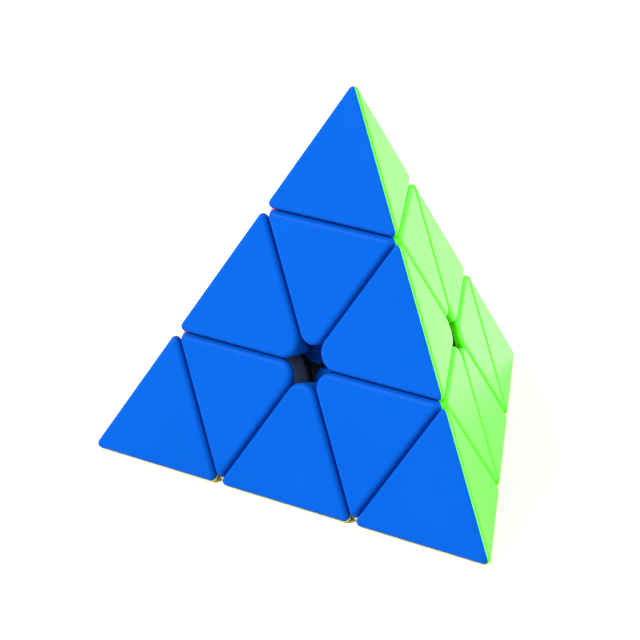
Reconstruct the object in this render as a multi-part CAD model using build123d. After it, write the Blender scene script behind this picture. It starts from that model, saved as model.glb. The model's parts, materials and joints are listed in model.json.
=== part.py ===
from build123d import *
from math import sqrt
import os

# Pyramid twisty puzzle with three layers per corner, in millimetres.
# Origin: the centre of the core, where the four turning axes meet.
# +Z runs up through the top vertex, and the flat base lies level below the origin.
# Each region is bounded by heights: a height is the distance from the origin along one vertex axis.

# Driving dimensions
EDGE_OVER_TIPS = 98.0  # along one edge of the pyramid, over its rounded tips
CORNER_R = 1.1  # rounding of every moulded outer edge
CUT_GAP = 0.3  # free space between pieces of neighbouring layers
WALL = 1.8  # coloured shell
CLIP_GAP = 0.05  # free space between parts clipped together
LAYER_DROP = 0.6  # how far the cuts lie inside those that would share each edge in thirds
TIP_DROP = 0.78
AXIAL_HOLE_R = 3.1  # corners of the shells around the hole in each face centre
EDGE_HOLE_R = 3.9
HOLE_ZONE = 24.0  # side of the square around that hole where corners are rounded
AXIAL_HOLE_DEPTH = 6.0  # how deep the rounding runs, square to the face
EDGE_HOLE_DEPTH = 9.0

DOME_R = 19.4  # outside of the grey domes that hold the feet down
DOME_CORNER_R = 9.6  # corners of a dome around the holes in the faces
DOME_CORNER_DEPTH = 12.0
DOME_RIM_DEPTH = 8.0  # how deep under a face the corner's round meets both cuts
FOOT_R = 13.5  # ball that the edge feet share
FOOT_CUT = 3.5  # height of the cuts between the feet
FOOT_ROUND = 0.5
FOOT_HOLLOW_R = 8.2  # feet run around the core ball

CORE_R = 8.0
BOSS_R = 4.2
BOSS_TOP = 10.0
PILOT_R = 1.45
SCREW_TIP = 3.0  # height of the screw's end
SCREW_TIP_ROOM = 0.5

STALK_R = 5.5
STALK_BOTTOM = 10.15
WELL_R = 3.4
WELL_FLOOR = 14.05
SCREW_HOLE_R = 1.6
TOWER_R = 6.3

WIRE_R = 0.35
COIL_R = 2.4
COIL_TURNS = 5
WASHER_BOTTOM = 22.6
WASHER_THICKNESS = 0.5
WASHER_R = 3.1
SCREW_R = 1.4
HEAD_R = 2.9
HEAD_HEIGHT = 2.0
RECESS_DEPTH = 1.1
RECESS_WIDTH = 0.8
RECESS_SPAN = 3.4

STEM_R = 4.5
STEM_BORE_R = 2.6
STEM_BOTTOM = 28.0
STEM_SLOT = 1.0
STEM_SLOT_TOP = 33.5
SOCKET_R = 4.56
SOCKET_FLOOR = 27.9
SNAP_RING_R = 4.9
SNAP_RING_HEIGHTS = (29.5, 30.5)
GROOVE_R = 5.1
GROOVE_HEIGHTS = (28.9, 31.1)
FLANGE_R = 6.7
FLANGE_THICKNESS = 1.6
FIN_THICKNESS = 1.4
TIP_FIN_RISE = 9.0

PEG_R = 1.2
PEG_LENGTH = 2.5
PEG_SOCKET_R = 1.25
PEG_SOCKET_DEPTH = 2.8
PEG_BOSS_R = 2.4
PEG_FROM_ORIGIN = 29.0
PEG_FROM_MIDDLE = 7.0

# Derived from a regular tetrahedron
SHARP_EDGE = EDGE_OVER_TIPS + (2 * sqrt(6) - 2) * CORNER_R
FACE = SHARP_EDGE / (2 * sqrt(6))  # origin to each face
LAYER_CUT = FACE / 3 - LAYER_DROP  # height of the cut under a corner's middle layer
TIP_CUT = FACE * 5 / 3 - TIP_DROP  # height of the cut under a tip
HALF_GAP = CUT_GAP / 2
REACH = 8 * FACE  # larger than the whole puzzle

AXES = {
    "top": Vector(0, 0, 1),
    "left": Vector(-sqrt(6) / 3, -sqrt(2) / 3, -1 / 3),
    "right": Vector(sqrt(6) / 3, -sqrt(2) / 3, -1 / 3),
    "back": Vector(0, 2 * sqrt(2) / 3, -1 / 3),
}
# The colour of the face opposite each vertex
OPPOSITE_COLOUR = {"back": "blue", "left": "green", "right": "red", "top": "yellow"}
# Each edge is named by the two corners it lies between
EDGES = (
    ("top", "left"),
    ("top", "right"),
    ("top", "back"),
    ("left", "right"),
    ("right", "back"),
    ("back", "left"),
)
# Each axis, with the one its parts are turned towards
HARDWARE_PLACES = (("top", "back"), ("left", "top"), ("right", "top"), ("back", "top"))


def above(axis, height):
    """Everything beyond a height along an axis."""
    box = Box(REACH, REACH, REACH, align=(Align.CENTER, Align.CENTER, Align.MIN))
    return Plane(origin=axis * height, z_dir=axis) * box


def below(axis, height):
    """Everything short of a height along an axis."""
    return above(axis * -1, -height)


def common(first, *rest):
    """The space that all the regions share."""
    for region in rest:
        first = first & region
    return first


def rod(radius, start, end):
    """A round bar along the top axis."""
    return Pos(0, 0, start) * Cylinder(radius, end - start, align=(Align.CENTER, Align.CENTER, Align.MIN))


def others(*vertices):
    return [name for name in AXES if name not in vertices]


def corner_plane(vertex, toward):
    """The plane through the origin that faces one vertex, with its x towards another."""
    return Plane(origin=(0, 0, 0), x_dir=AXES[toward] + AXES[vertex] / 3, z_dir=AXES[vertex])


def carry(shape, top_to, back_to):
    """Turn a shape about the origin, so that its top and back axes land on the named ones."""
    home = corner_plane("top", "back").location.inverse()
    return corner_plane(top_to, back_to).location * home * shape


def left_after(top_to, back_to):
    """Where the left axis lands when a shape is carried."""
    normal = AXES[top_to].cross(AXES[back_to])
    return next(name for name in others(top_to, back_to) if normal.dot(AXES[name]) > 0)


def third():
    """The third of space around the top axis that belongs to the face opposite the back."""
    cuts = [(AXES["back"] - AXES[name]).normalized() for name in ("left", "right")]
    return common(*[below(cut, 0) for cut in cuts])


def fins(inside):
    """Three plates that hold the top axis and run out to the ridges, within a space."""
    plate = Box(REACH, FIN_THICKNESS, REACH, align=(Align.MIN, Align.CENTER, Align.CENTER))
    plates = [Rot(0, 0, turn) * plate for turn in (90, 210, 330)]
    return [plate & inside for plate in plates]


def apex_under(face_depth, cut):
    """How far from a hole's middle two cuts of one height meet, this deep under the face."""
    return ((FACE - face_depth) / 3 - cut) * 3 / sqrt(2)


def hole_zone(face, inward, apex, radius, depth):
    """What to cut from a piece to round, square to a face, its corner at the hole in the face's centre.

    inward points from the hole into the piece, and apex is how far that way its 60 degree corner
    starts. The round runs on into sides at 45 degrees to inward, just outside the corner's own.
    """
    centre = apex + 2 * radius
    side = radius / sqrt(2)
    far_y = REACH - centre + 2 * side
    outline = Polyline((centre - side, side), (REACH, far_y), (REACH, -far_y), (centre - side, -side))
    corner = ThreePointArc((centre - side, -side), (centre - radius, 0), (centre - side, side))
    prism = extrude(make_face([outline, corner]), amount=depth)
    zone = Box(HOLE_ZONE, HOLE_ZONE, depth, align=(Align.CENTER, Align.CENTER, Align.MIN))
    return Plane(origin=AXES[face] * -FACE, x_dir=inward, z_dir=AXES[face]) * (zone - prism)


def into_axial(face):
    """Along a face, from the hole in its centre into the top axial."""
    return (AXES["top"] + AXES[face] / 3).normalized()


def rounded(piece, radius):
    """Grow a piece that was drawn one radius too small, which rounds all its edges."""
    return offset(piece, radius, kind=Kind.ARC)


def tip_form(inset):
    """The small tetrahedron at the top corner, with every face moved in by inset."""
    faces = [above(AXES[name], -FACE + inset) for name in others("top")]
    return common(above(AXES["top"], TIP_CUT + HALF_GAP + inset), *faces)


def axial_form(inset):
    """The octahedron under the top tip, with every face moved in by inset."""
    axis = AXES["top"]
    faces = [above(AXES[name], -FACE + inset) for name in others("top")]
    cuts = [below(AXES[name], LAYER_CUT - HALF_GAP - inset) for name in others("top")]
    ends = [above(axis, LAYER_CUT + HALF_GAP + inset), below(axis, TIP_CUT - HALF_GAP - inset)]
    return common(*ends, *faces, *cuts)


def edge_form(inset):
    """The tetrahedron between the top and back corners, with every face moved in by inset."""
    cuts = [above(AXES[name], LAYER_CUT + HALF_GAP + inset) for name in ("top", "back")]
    faces = [above(AXES[name], -FACE + inset) for name in ("left", "right")]
    return common(*cuts, *faces)


def tip_cap():
    """The tip's coloured shell on the face opposite the back. Three make a tip."""
    shell = rounded(tip_form(CORNER_R), CORNER_R) - tip_form(WALL)
    return (shell - rod(SOCKET_R, 0, TIP_CUT + 2 * WALL)) & third()


def tip_core():
    """The stem that snaps into the axial, with the flange and fins that hold the tip's shells."""
    flange_bottom = TIP_CUT + HALF_GAP + WALL + CLIP_GAP
    flange_top = flange_bottom + FLANGE_THICKNESS
    inside = tip_form(WALL + CLIP_GAP)
    core = rod(FLANGE_R, flange_bottom, flange_top) & inside
    core += rod(STEM_R, STEM_BOTTOM, flange_top) + rod(SNAP_RING_R, *SNAP_RING_HEIGHTS)
    core += fins(inside & below(AXES["top"], flange_bottom + TIP_FIN_RISE))
    core -= rod(STEM_BORE_R, 0, flange_bottom)
    slot = Box(STEM_SLOT, 3 * STEM_R, STEM_SLOT_TOP, align=(Align.CENTER, Align.CENTER, Align.MIN))
    return core - slot - Rot(0, 0, 90) * slot


def axial_cap():
    """The axial's coloured shell on the face opposite the back. Three stand on its grey dome."""
    solid = axial_form(CORNER_R)
    apex = apex_under(CORNER_R, LAYER_CUT - HALF_GAP - CORNER_R)
    for face in others("top"):
        solid -= hole_zone(face, into_axial(face), apex, AXIAL_HOLE_R - CORNER_R, AXIAL_HOLE_DEPTH)
    shell = rounded(solid, CORNER_R) - axial_form(WALL)
    shell -= rod(TOWER_R + CLIP_GAP, 0, TIP_CUT - HALF_GAP - WALL / 2)
    shell -= rod(SOCKET_R, 0, TIP_CUT)
    return (shell & third()) - Sphere(DOME_R + CLIP_GAP)


def dome():
    """The grey dome over the feet, with its three corners rounded to open the holes in the faces."""
    cut = LAYER_CUT - HALF_GAP
    apex = apex_under(DOME_RIM_DEPTH, cut)
    solid = above(AXES["top"], 0) & Sphere(DOME_R)
    for name in others("top"):
        solid &= below(AXES[name], cut)
        solid -= hole_zone(name, into_axial(name), apex, DOME_CORNER_R, DOME_CORNER_DEPTH)
    return solid - Sphere(FOOT_R + CUT_GAP)


def axial_body():
    """The grey dome on its stalk, with the spring well and the socket that takes the tip's stem."""
    tower_top = TIP_CUT - HALF_GAP - WALL / 2 - CLIP_GAP
    body = dome() + rod(STALK_R, STALK_BOTTOM, DOME_R - 1) + rod(TOWER_R, FOOT_R + 1, tower_top)
    body += fins(axial_form(WALL + CLIP_GAP) - Sphere(DOME_R - 1))
    body -= rod(SCREW_HOLE_R, 0, WELL_FLOOR + 1)
    body -= rod(WELL_R, WELL_FLOOR, SOCKET_FLOOR + 1)
    body -= rod(SOCKET_R, SOCKET_FLOOR, REACH)
    return body - rod(GROOVE_R, *GROOVE_HEIGHTS)


def foot():
    """The foot of the edge, which the domes of its two corners hold down."""
    space = common(
        above(AXES["top"], FOOT_CUT + HALF_GAP + FOOT_ROUND),
        above(AXES["back"], FOOT_CUT + HALF_GAP + FOOT_ROUND),
        below(AXES["left"], FOOT_CUT - HALF_GAP - FOOT_ROUND),
        below(AXES["right"], FOOT_CUT - HALF_GAP - FOOT_ROUND),
    )
    space = (space & Sphere(FOOT_R - FOOT_ROUND)) - Sphere(FOOT_HOLLOW_R + FOOT_ROUND)
    return rounded(space, FOOT_ROUND)


def edge_half():
    """Half of an edge and of its foot, on the face opposite the left. Its pegs fit a second one."""
    middle = (AXES["top"] + AXES["back"]).normalized()
    along = (AXES["top"] - AXES["back"]).normalized()
    across = (AXES["right"] - AXES["left"]).normalized()
    solid = edge_form(CORNER_R)
    apex = -apex_under(CORNER_R, LAYER_CUT + HALF_GAP + CORNER_R)
    for face in ("left", "right"):
        inward = (middle - AXES[face] * middle.dot(AXES[face])).normalized()
        solid -= hole_zone(face, inward, apex, EDGE_HOLE_R - CORNER_R, EDGE_HOLE_DEPTH)
    on_peg = Plane(origin=middle * PEG_FROM_ORIGIN, x_dir=along, z_dir=across)
    low = (Align.CENTER, Align.CENTER, Align.MIN)
    hollow = edge_form(WALL) - Sphere(FOOT_R + WALL)
    for side in (-PEG_FROM_MIDDLE, PEG_FROM_MIDDLE):
        hollow -= on_peg * Pos(side, 0, 0) * Cylinder(PEG_BOSS_R, REACH, align=low)
    half = (rounded(solid, CORNER_R) + foot() - hollow) & above(across, 0)
    half += on_peg * Pos(PEG_FROM_MIDDLE, 0, -PEG_LENGTH) * Cylinder(PEG_R, PEG_LENGTH + 1, align=low)
    return half - on_peg * Pos(-PEG_FROM_MIDDLE, 0, 0) * Cylinder(PEG_SOCKET_R, PEG_SOCKET_DEPTH, align=low)


def core_spider():
    """The ball at the centre, with a boss for each tension screw."""
    body = Sphere(CORE_R)
    for vertex, toward in HARDWARE_PLACES:
        body += carry(rod(BOSS_R, 0, BOSS_TOP), vertex, toward)
    for vertex, toward in HARDWARE_PLACES:
        body -= carry(rod(PILOT_R, SCREW_TIP - SCREW_TIP_ROOM, REACH), vertex, toward)
    return body


def tension_screw():
    head_bottom = WASHER_BOTTOM + WASHER_THICKNESS
    head_top = head_bottom + HEAD_HEIGHT
    body = rod(SCREW_R, SCREW_TIP, head_bottom + 1) + rod(HEAD_R, head_bottom, head_top)
    recess = Pos(0, 0, head_top) * Box(RECESS_WIDTH, RECESS_SPAN, 2 * RECESS_DEPTH)
    return body - recess - Rot(0, 0, 90) * recess


def spring_washer():
    top = WASHER_BOTTOM + WASHER_THICKNESS
    return rod(WASHER_R, WASHER_BOTTOM, top) - rod(SCREW_HOLE_R, 0, REACH)


def tension_spring():
    """A compression spring between the well's floor and the washer."""
    bottom = WELL_FLOOR + CLIP_GAP + WIRE_R
    height = WASHER_BOTTOM - CLIP_GAP - WIRE_R - bottom
    coil = Pos(0, 0, bottom) * Helix(height / COIL_TURNS, height, COIL_R)
    section = Plane(origin=coil @ 0, z_dir=coil % 0) * Circle(WIRE_R)
    return sweep(section, path=coil)


def write(name, *shapes):
    """Write one node's solids to its own file."""
    pieces = [solid for shape in shapes for solid in shape.solids()]
    whole = pieces[0] if len(pieces) == 1 else Compound(children=pieces)
    export_step(whole, f"parts/{name}.step")


def write_hardware():
    write("core_spider", core_spider())
    for name, piece in (
        ("tension_screws", tension_screw()),
        ("spring_washers", spring_washer()),
        ("tension_springs", tension_spring()),
    ):
        write(name, *[carry(piece, *place) for place in HARDWARE_PLACES])


def write_corners():
    caps = {"tip": tip_cap(), "axial": axial_cap()}
    bodies = {"tip_core": tip_core(), "axial_body": axial_body()}
    for vertex in AXES:
        for part, body in bodies.items():
            write(f"{vertex}_{part}", carry(body, vertex, others(vertex)[0]))
        for part, cap in caps.items():
            for face in others(vertex):
                write(f"{vertex}_{part}_{OPPOSITE_COLOUR[face]}_cap", carry(cap, vertex, face))


def write_edges():
    half = edge_half()
    for first, second in EDGES:
        for ends in ((first, second), (second, first)):
            colour = OPPOSITE_COLOUR[left_after(*ends)]
            write(f"{first}_{second}_edge_{colour}_half", carry(half, *ends))


os.makedirs("parts", exist_ok=True)
write_hardware()
write_corners()
write_edges()
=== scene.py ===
import json
from math import cos, radians, sin, sqrt

import bpy
from mathutils import Matrix, Vector


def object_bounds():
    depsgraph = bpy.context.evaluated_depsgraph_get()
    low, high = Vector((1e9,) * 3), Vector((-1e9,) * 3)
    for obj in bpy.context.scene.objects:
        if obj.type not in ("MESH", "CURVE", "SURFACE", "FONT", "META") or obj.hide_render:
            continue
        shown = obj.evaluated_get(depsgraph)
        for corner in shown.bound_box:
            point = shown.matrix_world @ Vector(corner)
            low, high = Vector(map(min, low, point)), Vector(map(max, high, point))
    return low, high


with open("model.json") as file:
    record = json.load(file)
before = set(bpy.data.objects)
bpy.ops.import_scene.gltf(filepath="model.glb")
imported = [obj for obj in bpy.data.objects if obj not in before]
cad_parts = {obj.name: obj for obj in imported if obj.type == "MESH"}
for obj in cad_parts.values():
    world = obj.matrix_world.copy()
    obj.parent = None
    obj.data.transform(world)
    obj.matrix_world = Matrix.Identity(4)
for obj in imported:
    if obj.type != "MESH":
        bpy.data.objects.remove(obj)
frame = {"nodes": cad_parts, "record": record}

cad_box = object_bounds()

# The base lies level, one inradius of the sharp-cornered tetrahedron below the origin
SHARP_EDGE = -cad_box[0].z * 2 * sqrt(6)

# Camera: azimuth 0 looks along +Y and grows anticlockwise seen from above, in degrees
VIEW_AZIMUTH = 36.96
VIEW_ELEVATION = 23.69
VIEW_ROLL = -2.20
CAMERA_PLACE = Vector((3.2081, -4.4009, 2.4849)) * SHARP_EDGE
LENS = 165.74  # millimetres, as the sensor's width
SENSOR = 36.0

# Lights: places and sizes in metres, powers in watts
KEY_PLACE = (-1.05, -1.4, 1.75)
KEY_SIZE = 1.0
KEY_POWER = 96.0
SIDE_PLACE = (2.1, 0.55, 1.2)
SIDE_SIZE = 0.9
SIDE_POWER = 44.0

# World: its strength in front of the puzzle and behind it, and between which Y directions it grows
FRONT_ROOM = 0.25
BACKDROP = 1.2
ROOM_ENDS = -0.9
BACKDROP_STARTS = 0.6

FLOOR_SIZE = 6.0
FLOOR_COLOUR = (0.95, 0.95, 0.95)
FLOOR_ROUGHNESS = 0.9

# Linear colours
BLUE = (0.0, 0.070, 0.400)
GREEN = (0.075, 0.700, 0.003)
RED = (0.560, 0.012, 0.010)
YELLOW = (0.720, 0.640, 0.004)
GREY = (0.240, 0.290, 0.330)
CORE_GREY = (0.200, 0.220, 0.250)
STEEL = (0.560, 0.570, 0.580)

# Each plastic's colour, roughness and specular level
PLASTICS = {
    "blue_plastic": (BLUE, 0.42, 0.03),
    "green_plastic": (GREEN, 0.32, 0.22),
    "red_plastic": (RED, 0.36, 0.3),
    "yellow_plastic": (YELLOW, 0.36, 0.3),
    "grey_plastic": (GREY, 0.42, 0.4),
    "core_plastic": (CORE_GREY, 0.45, 0.4),
}
# Each steel's roughness
STEELS = {"screw_steel": 0.28, "washer_steel": 0.34, "spring_steel": 0.24}

# Sizes of the plastics' patterns, as noise scales per metre
CLOUD_SCALE = 60.0
SMEAR_SCALE = 35.0
WEAR_SCALE = 420.0
SHEEN_SCALE = 900.0
GRAIN_SCALE = 5200.0

# The same for the steels
STEEL_SHEEN_SCALE = 1500.0
STEEL_GRAIN_SCALE = 3000.0

NOISE_LOW = 0.3  # nearly all of a noise lies between these two
NOISE_HIGH = 0.7

CLOUD_TONE = 0.03  # share of the colour's brightness, up or down
SMEAR_ROUGHNESS = 0.02  # added where the smear noise passes these levels
SMEAR_LOW = 0.4
SMEAR_HIGH = 0.65
WORN_BAND = 0.0007  # metres from an edge
WORN_LOW = 0.45  # the wear noise shows from this level
WORN_SHARE = 0.6
WORN_GAIN = 1.15
WORN_LIFT = 0.02
SHEEN_LOW, SHEEN_HIGH = -0.02, 0.03  # what the sheen adds to a plastic's roughness
STEEL_SHEEN_LOW, STEEL_SHEEN_HIGH = -0.06, 0.08
GRAIN_HEIGHT = 0.00002  # metres
GRAIN_STRENGTH = 0.25
STEEL_GRAIN_STRENGTH = 0.3

# Cosines between the true normal and the bevelled one, on a flat and on an edge
FLAT_COSINE = 0.995
EDGE_COSINE = 0.90


class Shader:
    """A material's nodes, with short calls to add and join them."""

    def __init__(self, name):
        self.material = bpy.data.materials.new(name)
        self.material.use_nodes = True
        self.tree = self.material.node_tree
        self.tree.nodes.clear()
        self.surface = self.add("ShaderNodeBsdfPrincipled")
        output = self.add("ShaderNodeOutputMaterial")
        self.feed(output.inputs["Surface"], self.surface.outputs[0])
        self.place = self.add("ShaderNodeTexCoord").outputs["Object"]

    def add(self, kind, **settings):
        node = self.tree.nodes.new(kind)
        for key, value in settings.items():
            setattr(node, key, value)
        return node

    def feed(self, socket, value):
        """Joins an output to an input, or sets the input."""
        if isinstance(value, bpy.types.NodeSocket):
            self.tree.links.new(value, socket)
        else:
            socket.default_value = value

    def set(self, **values):
        """Feeds the surface's inputs, named with underscores for spaces."""
        for key, value in values.items():
            self.feed(self.surface.inputs[key.replace("_", " ")], value)

    def noise(self, scale, detail, roughness=0.5):
        node = self.add("ShaderNodeTexNoise")
        self.feed(node.inputs["Vector"], self.place)
        self.feed(node.inputs["Scale"], scale)
        self.feed(node.inputs["Detail"], detail)
        self.feed(node.inputs["Roughness"], roughness)
        return node.outputs[0]

    def remap(self, value, low, high, to_low, to_high):
        node = self.add("ShaderNodeMapRange")
        self.feed(node.inputs["Value"], value)
        for key, number in (("From Min", low), ("From Max", high), ("To Min", to_low), ("To Max", to_high)):
            self.feed(node.inputs[key], number)
        return node.outputs[0]

    def mix(self, share, first, second):
        node = self.add("ShaderNodeMix", data_type="RGBA")
        self.feed(node.inputs[0], share)
        self.feed(node.inputs[6], first)
        self.feed(node.inputs[7], second)
        return node.outputs[2]

    def math(self, operation, first, second):
        node = self.add("ShaderNodeMath", operation=operation)
        self.feed(node.inputs[0], first)
        self.feed(node.inputs[1], second)
        return node.outputs[0]

    def edges(self, radius):
        """1 along edges sharper than the radius, 0 on flats."""
        bevel = self.add("ShaderNodeBevel", samples=6)
        self.feed(bevel.inputs["Radius"], radius)
        geometry = self.add("ShaderNodeNewGeometry")
        dot = self.add("ShaderNodeVectorMath", operation="DOT_PRODUCT")
        self.feed(dot.inputs[0], bevel.outputs[0])
        self.feed(dot.inputs[1], geometry.outputs["Normal"])
        return self.remap(dot.outputs["Value"], FLAT_COSINE, EDGE_COSINE, 0.0, 1.0)

    def bump(self, height, distance, strength):
        node = self.add("ShaderNodeBump")
        self.feed(node.inputs["Height"], height)
        self.feed(node.inputs["Distance"], distance)
        self.feed(node.inputs["Strength"], strength)
        return node.outputs[0]


def rgba(colour):
    return (*colour, 1.0)


def moulded_plastic(name, colour, roughness, specular):
    """Smooth injection moulded plastic: faint cloudiness, fine grain, lighter worn edges."""
    s = Shader(name)
    cloud = s.noise(CLOUD_SCALE, detail=3.0)
    shade = s.add("ShaderNodeHueSaturation")
    s.feed(shade.inputs["Color"], rgba(colour))
    tone = s.remap(cloud, NOISE_LOW, NOISE_HIGH, 1.0 - CLOUD_TONE, 1.0 + CLOUD_TONE)
    s.feed(shade.inputs["Value"], tone)

    patches = s.remap(s.noise(WEAR_SCALE, detail=4.0), WORN_LOW, NOISE_HIGH, 0.0, WORN_SHARE)
    wear = s.math("MULTIPLY", s.edges(WORN_BAND), patches)
    worn = [min(1.0, channel * WORN_GAIN + WORN_LIFT) for channel in colour]

    sheen = s.noise(SHEEN_SCALE, detail=4.0)
    rough = s.remap(sheen, NOISE_LOW, NOISE_HIGH, roughness + SHEEN_LOW, roughness + SHEEN_HIGH)
    smudge = s.noise(SMEAR_SCALE, detail=5.0, roughness=0.6)
    smear = s.remap(smudge, SMEAR_LOW, SMEAR_HIGH, 0.0, SMEAR_ROUGHNESS)

    s.set(
        Base_Color=s.mix(wear, shade.outputs[0], rgba(worn)),
        Roughness=s.math("ADD", rough, smear),
        Specular_IOR_Level=specular,
        Normal=s.bump(s.noise(GRAIN_SCALE, detail=2.0), GRAIN_HEIGHT, GRAIN_STRENGTH),
    )
    return s.material


def turned_steel(name, roughness):
    """Bright steel with an uneven sheen and a fine grain."""
    s = Shader(name)
    sheen = s.noise(STEEL_SHEEN_SCALE, detail=3.0)
    least, most = roughness + STEEL_SHEEN_LOW, roughness + STEEL_SHEEN_HIGH
    s.set(
        Metallic=1.0,
        Base_Color=rgba(STEEL),
        Roughness=s.remap(sheen, NOISE_LOW, NOISE_HIGH, least, most),
        Normal=s.bump(s.noise(STEEL_GRAIN_SCALE, detail=2.0), GRAIN_HEIGHT, STEEL_GRAIN_STRENGTH),
    )
    return s.material


def make_materials():
    plastics = {name: moulded_plastic(name, *look) for name, look in PLASTICS.items()}
    steels = {name: turned_steel(name, roughness) for name, roughness in STEELS.items()}
    return plastics | steels


def dress_nodes(materials):
    """Give every CAD node its material."""
    for row in frame["record"]["subparts"]:
        node = frame["nodes"][row["node"]]
        node.data.materials.clear()
        node.data.materials.append(materials[row["material_slot"]])


def make_floor(height):
    """A pale floor that the puzzle stands on."""
    bpy.ops.mesh.primitive_plane_add(size=FLOOR_SIZE, location=(0, 0, height))
    floor = bpy.context.object
    floor.name = "studio_floor"
    s = Shader("studio_floor")
    s.set(Base_Color=rgba(FLOOR_COLOUR), Roughness=FLOOR_ROUGHNESS, Specular_IOR_Level=0.0)
    floor.data.materials.append(s.material)


def area_light(name, place, size, power):
    """A round lamp that faces the origin."""
    light = bpy.data.lights.new(name, "AREA")
    light.shape = "DISK"
    light.size = size
    light.energy = power
    lamp = bpy.data.objects.new(name, light)
    bpy.context.scene.collection.objects.link(lamp)
    lamp.location = place
    lamp.rotation_euler = Vector(place).to_track_quat("Z", "Y").to_euler()


def make_world():
    """A bright backdrop behind the puzzle, and a dimmer room in front of it."""
    world = bpy.data.worlds.new("studio")
    bpy.context.scene.world = world
    world.use_nodes = True
    tree = world.node_tree
    place = tree.nodes.new("ShaderNodeTexCoord")
    split = tree.nodes.new("ShaderNodeSeparateXYZ")
    ramp = tree.nodes.new("ShaderNodeMapRange")
    tree.links.new(place.outputs["Generated"], split.inputs[0])
    tree.links.new(split.outputs["Y"], ramp.inputs["Value"])
    ramp.inputs["From Min"].default_value = ROOM_ENDS
    ramp.inputs["From Max"].default_value = BACKDROP_STARTS
    ramp.inputs["To Min"].default_value = FRONT_ROOM
    ramp.inputs["To Max"].default_value = BACKDROP
    background = tree.nodes["Background"]
    tree.links.new(ramp.outputs[0], background.inputs["Strength"])
    background.inputs["Color"].default_value = (1.0, 1.0, 1.0, 1.0)


def make_studio():
    make_world()
    area_light("key_light", KEY_PLACE, KEY_SIZE, KEY_POWER)
    area_light("side_light", SIDE_PLACE, SIDE_SIZE, SIDE_POWER)
    bpy.context.scene.view_settings.view_transform = "Standard"


def make_camera():
    azimuth, elevation, roll = radians(VIEW_AZIMUTH), radians(VIEW_ELEVATION), radians(VIEW_ROLL)
    level = cos(elevation)
    back = Vector((sin(azimuth) * level, -cos(azimuth) * level, sin(elevation)))
    right = Vector((cos(azimuth), sin(azimuth), 0.0))
    up = back.cross(right)
    right_rolled = cos(roll) * right + sin(roll) * up
    up_rolled = cos(roll) * up - sin(roll) * right
    camera = bpy.data.objects.new("camera", bpy.data.cameras.new("camera"))
    bpy.context.scene.collection.objects.link(camera)
    camera.data.lens = LENS
    camera.data.sensor_width = SENSOR
    turn = Matrix((right_rolled, up_rolled, back)).transposed()
    camera.matrix_world = Matrix.Translation(CAMERA_PLACE) @ turn.to_4x4()
    bpy.context.scene.camera = camera


dress_nodes(make_materials())
make_floor(cad_box[0].z)
make_studio()
make_camera()
